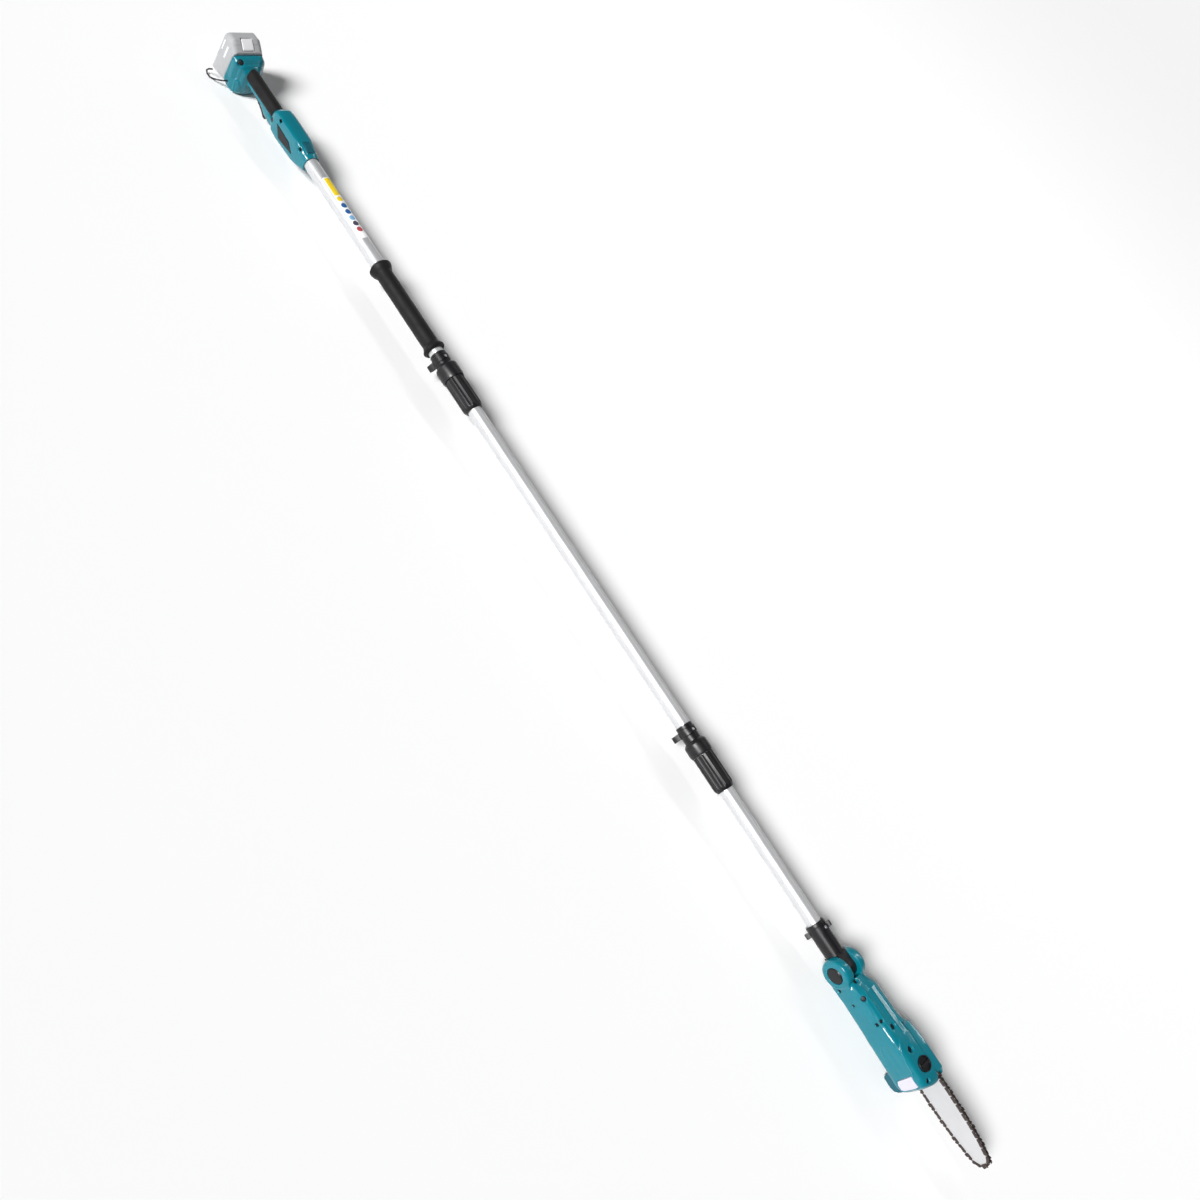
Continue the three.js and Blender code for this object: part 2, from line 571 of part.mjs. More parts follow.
// One straight bevel gear about +Y, its teeth narrowing towards the cone's point at the origin.
function bevelGear(teeth, radius, distance, width, hub) {
  const cone = Math.hypot(radius, distance);
  const outline = (scale, sink) => Array.from({ length: teeth * 4 }, (_, i) => {
    const step = i % 4;
    const turn = ((Math.floor(i / 4) + [-0.21, -0.13, 0.13, 0.21][step]) / teeth) * 2 * Math.PI;
    const high = step === 1 || step === 2;
    const reach = (radius + (high ? 0.9 : -1.3) * (distance / cone)) * scale;
    const along = (-distance + (high ? 0.9 : -1.3) * (radius / cone)) * scale - sink;
    return new THREE.Vector3(reach * Math.cos(turn), along, reach * Math.sin(turn));
  });
  const back = outline(1, 0).map((p) => new THREE.Vector3(p.x * 0.86, -distance - hub, p.z * 0.86));
  const inner = outline((cone - width) / cone, 0);
  return loft([back, outline(1, 0), inner]);
}

function buildDrive() {
  const stator = cutBy(
    pipe(18.8, 13.4, 867, 918),
    ...[0, 1, 2, 3, 4, 5].map((n) => placed(
      box(-1.2, 1.2, 850, 930, 12, 15.5), new THREE.Matrix4().makeRotationY((n * Math.PI) / 3))));
  piece("motor_stator", stator, COPPER);
  piece(
    "motor_rotor",
    turned([[0, 852], [2.5, 852], [2.5, 871], [12.8, 871], [12.8, 914], [4, 914], [4, 922], [2.5, 922],
      [2.5, 955.7], [0, 955.7]], SMALL_ROUND),
    STEEL);
  piece("motor_bearing", pipe(8, 2.8, 930, 937, SMALL_ROUND), STEEL);

  const pinion = placed(bevelGear(10, 8, 16, 5, 6), new THREE.Matrix4().makeTranslation(0, SPROCKET_Y, 0));
  piece("bevel_pinion", pinion.intersect(box(-FAR, FAR, 956, END, -FAR, FAR)), STEEL);
  const gearFrame = new THREE.Matrix4()
    .makeRotationZ(Math.PI / 2)
    .premultiply(new THREE.Matrix4().makeTranslation(0, SPROCKET_Y, 0));
  const halfTooth = new THREE.Matrix4().makeRotationY(Math.PI / 20);
  const gear = placed(placed(bevelGear(20, 16, 8, 5, 5), halfTooth), gearFrame);
  piece("bevel_gear", cutBy(gear, rodX(4.3, -30, 30, SPROCKET_Y, 0)), STEEL);
  piece("sprocket_shaft", rodX(4, -26.5, 25, SPROCKET_Y, 0), STEEL);
  piece(
    "shaft_bearing", cutBy(rodX(9, -14.2, -8, SPROCKET_Y, 0), rodX(4.3, -20, 0, SPROCKET_Y, 0)), STEEL);
  piece(
    "oil_pump", cutBy(box(17, 24, 974, 996, -12, 12), rodX(4.4, 0, 40, SPROCKET_Y, 0)), BLACK);
  const star = Array.from({ length: 24 }, (_, i) => {
    const radius = i % 4 < 2 ? SPROCKET_R - 0.6 : SPROCKET_R - 4;
    const turn = (i / 24) * 2 * Math.PI;
    return [SPROCKET_Y + radius * Math.cos(turn), radius * Math.sin(turn)];
  });
  piece(
    "drive_sprocket", cutBy(slabX(star, BAR_X - 3, BAR_X + 3), rodX(4.3, -40, 0, SPROCKET_Y, 0)), STEEL);
}

const BAR_EDGE = [
  [1038, BAR_HALF - 0.4], [1070, BAR_HALF], [1112, BAR_HALF - 0.4], [1150, 27], [1176, 24.4],
  [1192, 21.6]];

function barEdge(y) {
  const next = BAR_EDGE.findIndex(([along]) => along > y);
  const [[y0, z0], [y1, z1]] = BAR_EDGE.slice(next - 1, next + 1);
  return z0 + ((z1 - z0) * (y - y0)) / (y1 - y0);
}

// The closed line of the bar's edge, moved outwards by grow, round the sprocket where asked.
function barLine(grow, roundSprocket, noseGrow = grow) {
  const line = [];
  const noseR = 19 + noseGrow;
  const noseY = NOSE_Y - 19;
  const rearR = SPROCKET_R + grow;
  if (roundSprocket) {
    for (let i = 0; i <= 10; i++) {
      const turn = Math.PI * (0.5 + i / 10);
      line.push([SPROCKET_Y + rearR * Math.cos(turn), rearR * Math.sin(turn)]);
    }
  } else {
    line.push([1012, 15 + grow], [1008, 9], [1008, -9], [1012, -15 - grow]);
  }
  BAR_EDGE.forEach(([y, z]) => line.push([y, -z - grow]));
  for (let i = 0; i <= 12; i++) {
    const turn = Math.PI * (-0.4 + (0.8 * i) / 12);
    line.push([noseY + noseR * Math.cos(turn), noseR * Math.sin(turn)]);
  }
  BAR_EDGE.toReversed().forEach(([y, z]) => line.push([y, z + grow]));
  return line;
}

function buildCutter() {
  const blade = cutBy(
    slabX(barLine(0, false), BAR_X - 2, BAR_X + 2),
    box(BAR_X - 5, BAR_X + 5, 1020, 1052, -4.4, 4.4),
    rodX(2.6, BAR_X - 5, BAR_X + 5, 1024, -15));
  piece("guide_bar", blade, BAR_STEEL);

  const outer = slabX(barLine(CHAIN_DEPTH, true, NOSE_DEPTH), BAR_X - 3.2, BAR_X + 3.2);
  const inner = slabX(barLine(GAP, true), BAR_X - 10, BAR_X + 10);
  const cutters = [];
  for (let y = 1074; y < 1185; y += 16.5) {
    const root = barEdge(y) + 1.2;
    [-1, 1].forEach((side) => {
      const tooth = [
        [y - 5, side * root], [y + 5, side * root], [y + 4, side * (root + 3.4)],
        [y - 3, side * (root + 4.2)]];
      cutters.push(slabX(tooth, BAR_X - 3, BAR_X + 3));
    });
  }
  piece("saw_chain", joined(cutBy(outer, inner), ...cutters), CHAIN_STEEL);

  const cavity = slabX(
    COVER.map(([y, z]) => [y > 1050 ? y + 30 : y + 2.8, z * 0.93]), -31.8, 0);
  const reach = slabX(
    [[1030, -35.6], [END, -35.6], [END, 35.6], [1030, 35.6]], -28.5, 0);
  piece(
    "sprocket_cover",
    cutBy(slabX(COVER, -35.2, BAY_X - GAP, 2), cavity, reach, rodX(4.4, -60, 0, 1036, 0),
      rodX(9.5, -40, -33.6, 1036, 0)),
    TEAL);
  piece("bar_stud", rodX(3.8, -37.6, -8, 1036, 0), STEEL);
  const hexagon = cutBy(rodX(8, -38, -33.9, 1036, 0, 6), rodX(4.1, -60, 0, 1036, 0));
  piece("bar_nut", hexagon, STEEL);
  const slot = box(-18, -13, 1051, 1060, -17.3, -16.7);
  piece("tension_screw", cutBy(rodY(1.4, 1016, 1052, -16.3, -17, 10), slot), STEEL);
}

function buildOil() {
  const inside = headBody(WALL + 0.8).intersect(box(-8, 40, 1004, 1044, -18, 30));
  const pane = slabX(WINDOW_EDGE, 20, 32.4, 1.2);
  const neck = rodZ(9.6, 20, 31.5, CAP_X, CAP_Y);
  const bore = rodZ(7, 0, 60, CAP_X, CAP_Y);
  piece("oil_tank", cutBy(joined(inside, pane, neck), bore), WINDOW);
  const grip = box(CAP_X - 11, CAP_X + 11, CAP_Y - 2.4, CAP_Y + 2.4, 37, 43);
  const rim = rodZ(CAP_R, 33.4, 40.6, CAP_X, CAP_Y, ROUND);
  const dish = rodZ(CAP_R - 2.2, 38, 50, CAP_X, CAP_Y, ROUND);
  const plug = rodZ(6.6, 24, 34, CAP_X, CAP_Y);
  piece("oil_cap", joined(cutBy(rim, dish), grip, plug), BLACK);
}

buildBattery();
buildHandle();
buildPole();
buildYoke();
buildHead();

tool.updateMatrixWorld(true);
const extent = new THREE.Box3().setFromObject(tool, true);
const middle = extent.getCenter(new THREE.Vector3());
tool.position.set(-middle.x, -middle.y, -extent.min.z);
const root = new THREE.Group();
root.name = "pole_saw";
root.add(tool);

export default root;
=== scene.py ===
"""Looks of a telescoping pole saw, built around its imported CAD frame. Metres, in the row frame."""

import math

import bmesh
import bpy
import numpy as np
from mathutils import Matrix, Vector


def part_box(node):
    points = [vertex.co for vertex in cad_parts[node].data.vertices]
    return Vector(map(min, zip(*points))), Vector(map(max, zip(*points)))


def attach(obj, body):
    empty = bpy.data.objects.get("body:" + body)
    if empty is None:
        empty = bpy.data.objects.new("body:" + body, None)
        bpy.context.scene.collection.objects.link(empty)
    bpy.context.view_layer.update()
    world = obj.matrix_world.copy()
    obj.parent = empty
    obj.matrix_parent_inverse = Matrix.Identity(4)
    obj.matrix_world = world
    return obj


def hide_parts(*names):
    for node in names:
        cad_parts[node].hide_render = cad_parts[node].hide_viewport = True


MM = 0.001
TUBE_START = 190  # where the front tube begins, in millimetres along the pole

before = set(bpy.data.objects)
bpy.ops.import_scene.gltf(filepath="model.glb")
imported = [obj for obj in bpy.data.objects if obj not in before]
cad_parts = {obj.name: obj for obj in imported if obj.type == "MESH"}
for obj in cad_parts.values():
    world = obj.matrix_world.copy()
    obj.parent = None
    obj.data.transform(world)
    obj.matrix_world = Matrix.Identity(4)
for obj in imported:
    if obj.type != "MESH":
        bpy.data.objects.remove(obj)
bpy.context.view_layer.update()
tube_low, tube_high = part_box("front_tube")
# A point on the pole's axis. The shapes below are drawn from it in millimetres: x right, y along the
# pole, z up.
ORIGIN = Vector((
    (tube_low.x + tube_high.x) / 2,
    tube_low.y - TUBE_START * MM,
    (tube_low.z + tube_high.z) / 2,
))


def at(x, y, z):
    """A place given in millimetres from the pole's origin, in the row frame."""
    return ORIGIN + Vector((x, y, z)) * MM


# ---- Camera, light and floor ----------------------------------------------------------------------

CAMERA_AIM = (0, 0, 0)  # millimetres from the pole's origin
CAMERA_DISTANCE = 2.239
CAMERA_LENS, CAMERA_SENSOR = 34.5, 36
CAMERA_RIGHT = Vector((-0.68847, 0.54328, 0.48048))
CAMERA_UP = Vector((-0.31066, -0.81953, 0.48152))
CAMERA_BACK = Vector((0.65537, 0.18224, 0.73299))
SUN_WATTS, SUN_ANGLE = 4.4, 0.36  # per square metre, and the disc's width in radians
SUN_WAY = Vector((-0.77, 0.12, -0.64))
STRIP_PLACE, STRIP_AIM = Vector((-2.6, -0.3, 2.9)), Vector((0, 0, 0.05))
STRIP_SIZE, STRIP_WATTS = (4.6, 0.09), 20
SKY_HEIGHTS, SKY_STRENGTHS = (0.02, 0.3), (0.72, 0.08)  # from the horizon upwards
FLOOR_REACH, FLOOR_Z = 60, -0.0004


def make_camera():
    data = bpy.data.cameras.new("camera")
    data.sensor_width = CAMERA_SENSOR
    data.lens = CAMERA_LENS
    data.clip_end = 50
    camera = bpy.data.objects.new("camera", data)
    bpy.context.scene.collection.objects.link(camera)
    turn = Matrix((CAMERA_RIGHT, CAMERA_UP, CAMERA_BACK)).transposed()
    camera.matrix_world = Matrix.Translation(
        at(*CAMERA_AIM) + CAMERA_BACK * CAMERA_DISTANCE
    ) @ turn.to_4x4()
    bpy.context.scene.camera = camera


def add_light(name, data, way):
    light = bpy.data.objects.new(name, data)
    bpy.context.scene.collection.objects.link(light)
    light.rotation_mode = "QUATERNION"
    light.rotation_quaternion = way.to_track_quat("-Z", "Y")
    return light


def make_world():
    """A dim sky that turns pale towards the horizon."""
    world = bpy.data.worlds.new("studio")
    world.use_nodes = True
    tree = world.node_tree
    direction = tree.nodes.new("ShaderNodeTexCoord")
    height = tree.nodes.new("ShaderNodeSeparateXYZ")
    strength = tree.nodes.new("ShaderNodeMapRange")
    strength.interpolation_type = "SMOOTHSTEP"
    strength.inputs["From Min"].default_value = SKY_HEIGHTS[0]
    strength.inputs["From Max"].default_value = SKY_HEIGHTS[1]
    strength.inputs["To Min"].default_value = SKY_STRENGTHS[0]
    strength.inputs["To Max"].default_value = SKY_STRENGTHS[1]
    background = tree.nodes["Background"]
    background.inputs["Color"].default_value = (1, 1, 1, 1)
    tree.links.new(direction.outputs["Generated"], height.inputs[0])
    tree.links.new(height.outputs["Z"], strength.inputs["Value"])
    tree.links.new(strength.outputs["Result"], background.inputs["Strength"])
    bpy.context.scene.world = world


def make_key():
    """The main light, from the tool's right and 40 degrees up."""
    sun = bpy.data.lights.new("key", "SUN")
    sun.energy = SUN_WATTS
    sun.angle = SUN_ANGLE
    add_light("key", sun, SUN_WAY)


def make_strip():
    """A long narrow light on the other side, for a thin bright line along the tubes."""
    data = bpy.data.lights.new("strip", "AREA")
    data.shape = "RECTANGLE"
    data.size, data.size_y = STRIP_SIZE
    data.energy = STRIP_WATTS
    add_light("strip", data, STRIP_AIM - STRIP_PLACE).location = STRIP_PLACE


def make_floor():
    floor = bpy.data.meshes.new("floor")
    reach = FLOOR_REACH
    corners = [(-reach, -reach, 0), (reach, -reach, 0), (reach, reach, 0), (-reach, reach, 0)]
    floor.from_pydata(corners, [], [(0, 1, 2, 3)])
    ground = bpy.data.objects.new("floor", floor)
    bpy.context.scene.collection.objects.link(ground)
    ground.location.z = FLOOR_Z
    look = bpy.data.materials.new("floor")
    look.use_nodes = True
    shader = look.node_tree.nodes["Principled BSDF"]
    shader.inputs["Base Color"].default_value = (0.93, 0.93, 0.93, 1)
    shader.inputs["Roughness"].default_value = 0.9
    shader.inputs["Specular IOR Level"].default_value = 0.1
    floor.materials.append(look)


def make_studio():
    bpy.context.scene.view_settings.view_transform = "Standard"
    make_world()
    make_key()
    make_strip()
    make_floor()


# ---- Materials ------------------------------------------------------------------------------------


def linear(rgb):
    """An sRGB colour of 0 to 255 as a linear one."""
    parts = [c / 255 for c in rgb]
    return [c / 12.92 if c <= 0.04045 else ((c + 0.055) / 1.055) ** 2.4 for c in parts] + [1]


class Nodes:
    """One material's node tree, with short calls for the nodes used here."""

    def __init__(self, name, **constants):
        self.material = bpy.data.materials.new(name)
        self.material.use_nodes = True
        self.tree = self.material.node_tree
        self.shader = self.tree.nodes["Principled BSDF"]
        for socket, value in constants.items():
            self.shader.inputs[socket.replace("_", " ")].default_value = value
        self.place = self.add("ShaderNodeTexCoord").outputs["Object"]

    def add(self, kind, **settings):
        node = self.tree.nodes.new(kind)
        for key, value in settings.items():
            setattr(node, key, value)
        return node

    def link(self, source, target):
        self.tree.links.new(source, target)

    def feed(self, socket, value):
        """Links another node's output to the socket, or sets a constant."""
        if hasattr(value, "is_linked"):
            self.link(value, socket)
        else:
            socket.default_value = value

    def stretched(self, scale):
        mapping = self.add("ShaderNodeMapping")
        mapping.inputs["Scale"].default_value = scale
        self.link(self.place, mapping.inputs["Vector"])
        return mapping.outputs["Vector"]

    def noise(self, scale, detail=3, vector=None, roughness=0.55):
        node = self.add("ShaderNodeTexNoise")
        node.inputs["Scale"].default_value = scale
        node.inputs["Detail"].default_value = detail
        node.inputs["Roughness"].default_value = roughness
        self.link(vector or self.place, node.inputs["Vector"])
        return node.outputs["Fac"]

    def spread(self, value, low, high, from_low=0.3, from_high=0.7):
        node = self.add("ShaderNodeMapRange")
        node.inputs["From Min"].default_value = from_low
        node.inputs["From Max"].default_value = from_high
        node.inputs["To Min"].default_value = low
        node.inputs["To Max"].default_value = high
        self.link(value, node.inputs["Value"])
        return node.outputs["Result"]

    def mix(self, factor, first, second):
        node = self.add("ShaderNodeMix", data_type="RGBA")
        wanted = (("Factor", "VALUE", factor), ("A", "RGBA", first), ("B", "RGBA", second))
        for name, kind, value in wanted:
            self.feed(next(s for s in node.inputs if s.name == name and s.type == kind), value)
        return next(s for s in node.outputs if s.type == "RGBA")

    def math(self, operation, first, second):
        node = self.add("ShaderNodeMath", operation=operation)
        for socket, value in zip(node.inputs, (first, second)):
            self.feed(socket, value)
        return node.outputs[0]

    def edges(self, low=0.515, high=0.6):
        """1 on convex edges, falling to 0 on flat faces."""
        return self.spread(self.add("ShaderNodeNewGeometry").outputs["Pointiness"], 0, 1, low, high)

    def colour(self, output):
        self.link(output, self.shader.inputs["Base Color"])

    def roughness(self, output):
        self.link(output, self.shader.inputs["Roughness"])

    def bump(self, height, strength, distance):
        node = self.add("ShaderNodeBump")
        node.inputs["Strength"].default_value = strength
        node.inputs["Distance"].default_value = distance
        self.link(height, node.inputs["Height"])
        self.link(node.outputs["Normal"], self.shader.inputs["Normal"])


def shade(rgb, factor):
    return [c * factor for c in linear(rgb)[:3]] + [1]


FINE, GRIT, BRUSH = 0.00012, 0.0003, 0.00006  # heights of the bumps


def plastic(name, rgb, rough, grain=0.12, grain_scale=2600, coat=0.0, worn=0.2, variation=0.08,
            shine=0.4):
    """Moulded plastic: a fine pebble grain, slight colour drift, and paler rubbed edges."""
    n = Nodes(name, Coat_Weight=coat, Coat_Roughness=0.08, Specular_IOR_Level=shine)
    drift = n.spread(n.noise(26, 4), 0, 1)
    base = n.mix(drift, shade(rgb, 1 - variation), shade(rgb, 1 + variation))
    pale = [c + (0.75 - c) * 0.35 for c in linear(rgb)[:3]] + [1]
    rubbed = n.math("MULTIPLY", n.edges(), n.spread(n.noise(120, 5), 0, worn))
    n.colour(n.mix(rubbed, base, pale))
    n.roughness(n.spread(n.noise(90, 4), rough - 0.05, rough + 0.07))
    n.bump(n.noise(grain_scale, 2), grain, FINE)
    return n.material


def rubber(name, rgb, rough=0.72, cell=900):
    """Soft rubber with an all-over pattern of small raised cells and a dusty bloom."""
    n = Nodes(name, Sheen_Weight=0.05, Sheen_Roughness=0.5, Specular_IOR_Level=0.25)
    cells = n.add("ShaderNodeTexVoronoi", feature="SMOOTH_F1")
    cells.inputs["Scale"].default_value = cell
    n.link(n.place, cells.inputs["Vector"])
    dust = n.spread(n.noise(60, 5), 0, 1)
    n.colour(n.mix(dust, shade(rgb, 0.8), shade(rgb, 1.35)))
    n.roughness(n.spread(n.noise(40, 4), rough - 0.08, rough + 0.08))
    n.bump(cells.outputs["Distance"], 0.35, GRIT)
    return n.material


def metal(name, rgb, rough, metallic=1.0, brush=(700, 14, 700), brushing=0.12, stain=0.06):
    """Metal with brush lines along the pole and faint staining."""
    n = Nodes(name, Metallic=metallic)
    lines = n.noise(1, 3, n.stretched(brush))
    cloud = n.spread(n.noise(18, 4), 0, 1)
    n.colour(n.mix(cloud, shade(rgb, 1 - stain), shade(rgb, 1 + stain * 0.3)))
    n.roughness(n.spread(lines, rough - 0.05, rough + 0.08))
    n.bump(lines, brushing, BRUSH)
    return n.material


LOOKS = {}


def make_looks():
    LOOKS["teal"] = plastic(
        "teal_plastic", (0, 112, 127), 0.34, 0.05, coat=0.6, worn=0.04, variation=0.03, shine=0.25)
    # Darker teal: the power button's own tone, and painted shade on the branch hook, which is teal
    # like the housing but sits in shadow.
    LOOKS["dark_teal"] = plastic(
        "dark_teal_plastic_with_painted_hook_shade", (0, 82, 97), 0.36, 0.1, coat=0.3, worn=0.04, variation=0.03, shine=0.25)
    LOOKS["rubber"] = rubber("grip_rubber", (15, 14, 15))
    LOOKS["foam"] = rubber("foam_rubber", (15, 14, 15), 0.6, 1300)
    LOOKS["black"] = plastic("black_plastic", (17, 16, 19), 0.36, 0.2, 2200, worn=0.06)
    LOOKS["grey"] = plastic(
        "battery_grey_plastic", (166, 167, 169), 0.46, 0.14, worn=0.06, variation=0.03)
    LOOKS["pale"] = plastic("pale_plastic", (232, 232, 234), 0.42, 0.1, worn=0.05, variation=0.02)
    LOOKS["window"] = plastic(
        "tank_window", (196, 194, 208), 0.55, 0.02, worn=0.02, variation=0.02, shine=0.2)
    LOOKS["silver"] = metal("tube_aluminium", (214, 215, 217), 0.36, 0.6)
    LOOKS["bar"] = metal("bar_steel", (196, 196, 198), 0.42, 0.3, (700, 10, 700), 0.15)
    LOOKS["chain"] = metal("chain_steel", (86, 76, 74), 0.42, 0.85, (300, 300, 300), 0.2, 0.25)
    LOOKS["steel"] = metal("fitting_steel", (176, 178, 182), 0.32, 1, (300, 300, 300))
    LOOKS["wire"] = metal("hook_wire", (44, 42, 46), 0.5, 0.4, (400, 400, 400))
    LOOKS["copper"] = metal("copper", (196, 116, 72), 0.35, 1, (900, 60, 900))
    # Screw heads: their dark navy colour is painted shade, standing in for the shadow inside the screw
    # pockets.
    LOOKS["dark_steel"] = metal("screw_steel_with_painted_pit_shade", (22, 30, 36), 0.42, 0.5, (400, 400, 400))
    for name, rgb in (("white", (240, 240, 242)), ("yellow", (232, 202, 30)),
                      ("blue", (38, 92, 150)), ("sky", (120, 170, 205)),
                      ("dark", (70, 66, 82)), ("red", (176, 70, 78))):
        LOOKS["label_" + name] = plastic("label_" + name, rgb, 0.34, 0.05, coat=0.15, worn=0.02)
    LOOKS["board"] = plastic("circuit_board", (44, 92, 60), 0.45, 0.1)


NODE_LOOKS = {
    "teal": ["rear_housing_right", "rear_housing_left", "head_housing_left", "head_housing_right",
             "sprocket_cover"],
    # The branch hook's darker teal is painted shade; the power button's is its own tone.
    "dark_teal": ["branch_hook", "power_button"],
    "rubber": ["grip_sleeve"],
    "foam": ["foam_grip"],
    "grey": ["battery_case", "battery_rail_plate"],
    "pale": ["battery_latch_button", "rear_collet", "front_collet"],
    "window": ["oil_tank"],
    "silver": ["rear_tube", "middle_tube", "front_tube"],
    "bar": ["guide_bar"],
    "chain": ["saw_chain"],
    "wire": ["wire_hook"],
    "copper": ["battery_cells", "motor_stator"],
    "board": ["control_board"],
    "steel": ["housing_screw_1", "housing_screw_2", "rear_collar_screw", "front_collar_screw",
              "yoke_screw", "hinge_bolt", "motor_rotor", "motor_bearing", "bevel_pinion",
              "bevel_gear", "sprocket_shaft", "shaft_bearing", "drive_sprocket", "bar_stud",
              "bar_nut", "tension_screw"],
}


EDGE_WIDTHS = {
    "branch_hook": 0.0012, "sprocket_cover": 0.001, "oil_cap": 0.0006, "rear_collar_base": 0.0012,
    "front_collar_base": 0.0012, "yoke": 0.001}
EDGE_WIDTH = 0.0004  # of all other nodes
EDGE_ANGLE = 34  # degrees; flatter edges stay as they are


def smooth_faces(mesh, angle=None):
    """Smooth shading, with sharp edges where faces turn by more than angle."""
    if "custom_normal" in mesh.attributes:
        mesh.attributes.remove(mesh.attributes["custom_normal"])
    mesh.polygons.foreach_set("use_smooth", [True] * len(mesh.polygons))
    if angle:
        mesh.set_sharp_from_angle(angle=math.radians(angle))
    mesh.update()


def dress_nodes():
    """Each CAD node gets its material, and modifiers that round and shade its edges."""
    names = {node: look for look, nodes in NODE_LOOKS.items() for node in nodes}
    for name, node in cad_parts.items():
        node.data.materials.clear()
        node.data.materials.append(LOOKS[names.get(name, "black")])
        smooth_faces(node.data)
        weld = node.modifiers.new("weld", "WELD")
        weld.merge_threshold = 0.00001
        bevel = node.modifiers.new("bevel", "BEVEL")
        bevel.width = EDGE_WIDTHS.get(name, EDGE_WIDTH)
        bevel.segments = 2
        bevel.limit_method = "ANGLE"
        bevel.angle_limit = math.radians(EDGE_ANGLE)
        normals = node.modifiers.new("normals", "WEIGHTED_NORMAL")
        normals.weight = 90


# ---- Meshes drawn in millimetres from the pole's origin -------------------------------------------


def points_of(mesh):
    """Its corners, in millimetres from the pole's origin."""
    flat = np.empty(len(mesh.vertices) * 3)
    mesh.vertices.foreach_get("co", flat)
    return (flat.reshape(-1, 3) - np.array(ORIGIN)) / MM


def set_points(mesh, points):
    mesh.vertices.foreach_set("co", (points * MM + np.array(ORIGIN)).ravel())
    mesh.update()


def normals_of(mesh):
    flat = np.empty(len(mesh.vertices) * 3)
    mesh.vertices.foreach_get("normal", flat)
    return flat.reshape(-1, 3)


def add_piece(name, mesh, body, replaces=(), looks=()):
    """A piece that rides a body, in place of the named CAD nodes if there are any."""
    piece = bpy.data.objects.new(name, mesh)
    bpy.context.scene.collection.objects.link(piece)
    for look in looks:
        mesh.materials.append(LOOKS[look])
    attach(piece, body)
    if replaces:
        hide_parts(*replaces)
    return piece


def evaluated(mesh, kind, **settings):
    """A mesh after one modifier."""
    holder = bpy.data.objects.new("holder", mesh)
    bpy.context.scene.collection.objects.link(holder)
    modifier = holder.modifiers.new("modifier", kind)
    for key, value in settings.items():
        setattr(modifier, key, value)
    graph = bpy.context.evaluated_depsgraph_get()
    made = bpy.data.meshes.new_from_object(holder.evaluated_get(graph))
    bpy.data.objects.remove(holder)
    return made


def relaxed(mesh, points, rounds, share=0.5):
    """Points moved towards their neighbours' middle, which rounds edges and evens the skin."""
    edges = np.empty(len(mesh.edges) * 2, np.int32)
    mesh.edges.foreach_get("vertices", edges)
    first, second = edges.reshape(-1, 2).T
    count = np.bincount(edges, minlength=len(points))[:, None]
    for _ in range(rounds):
        near = np.stack([
            np.bincount(first, points[second, axis], len(points))
            + np.bincount(second, points[first, axis], len(points))
            for axis in range(3)
        ], 1)
        points = points + (near / count - points) * share
    return points


def smoothstep(value):
    """0 below 0, 1 above 1, with a soft passage between."""
    value = np.clip(value, 0, 1)
    return value * value * (3 - 2 * value)


def between(value, low, high, soft):
    """1 inside a range, falling to 0 at its ends."""
    return smoothstep((value - low) / soft) * smoothstep((high - value) / soft)


def ridge(distance, width):
    """1 on a line, falling to 0 on both sides of it."""
    return np.exp(-((distance / width) ** 2))


# ---- Housings: the CAD halves as one moulded skin, split again ------------------------------------

GAP = 0.3  # between two housing halves
VOXEL, BATTERY_VOXEL, QUICK_VOXEL = 0.8, 1.0, 1.2  # sizes of the remeshed skins' cells


def joined_nodes(names, point, normal):
    """The named nodes as one mesh, with the gap between them at the plane closed."""
    grid = bmesh.new()
    for name in names:
        grid.from_mesh(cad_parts[name].data)
    bmesh.ops.remove_doubles(grid, verts=grid.verts, dist=0.000002)
    mesh = bpy.data.meshes.new("joined")
    grid.to_mesh(mesh)
    grid.free()
    points = points_of(mesh)
    away = (points - point) @ normal
    near = np.abs(away) < GAP * 0.6
    points[near] -= np.outer(away[near] + np.sign(away[near]) * 0.06, normal)
    set_points(mesh, points)
    return mesh


def moulded(names, point, normal, carve, rounds=6, voxel=VOXEL, clear=None):
    """A soft-edged skin over the nodes, shaped by carve and then clear (points, normals)."""
    mesh = evaluated(
        joined_nodes(names, point, normal), "REMESH", mode="VOXEL", voxel_size=voxel * MM)
    set_points(mesh, relaxed(mesh, points_of(mesh), rounds))
    set_points(mesh, carve(points_of(mesh), normals_of(mesh)))
    set_points(mesh, relaxed(mesh, points_of(mesh), 1))
    if clear:
        set_points(mesh, clear(points_of(mesh), normals_of(mesh)))
    return mesh


def kept_side(mesh, point, normal, ratio):
    """The part of a mesh on the normal's side of a plane, closed and thinned out."""
    grid = bmesh.new()
    grid.from_mesh(mesh)
    everything = grid.verts[:] + grid.edges[:] + grid.faces[:]
    cut = bmesh.ops.bisect_plane(
        grid, geom=everything, dist=0.0000001, plane_co=at(*point), plane_no=normal,
        clear_inner=True)
    rim = [e for e in cut["geom_cut"] if isinstance(e, bmesh.types.BMEdge)]
    bmesh.ops.triangle_fill(grid, edges=rim, normal=[-n for n in normal])
    bmesh.ops.recalc_face_normals(grid, faces=grid.faces)
    made = bpy.data.meshes.new("side")
    grid.to_mesh(made)
    grid.free()
    return evaluated(made, "DECIMATE", ratio=ratio)


def add_halves(mesh, names, point, normal, body, look, ratio=0.4):
    """Two pieces from one skin, each in place of its CAD node. The first is behind the plane."""
    for name, side in zip(names, (-1, 1)):
        facing = np.array(normal) * side
        half = kept_side(mesh, np.array(point) + facing * GAP / 2, facing, ratio)
        half.materials.clear()
        low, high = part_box(name)
        points = points_of(half)
        reach = [(np.array(corner) - np.array(ORIGIN)) / MM for corner in (low, high)]
        set_points(half, np.clip(points, *reach))
        smooth_faces(half, 55)
        add_piece(name.replace("housing", "shell") + "_skin", half, body, [name], [look])


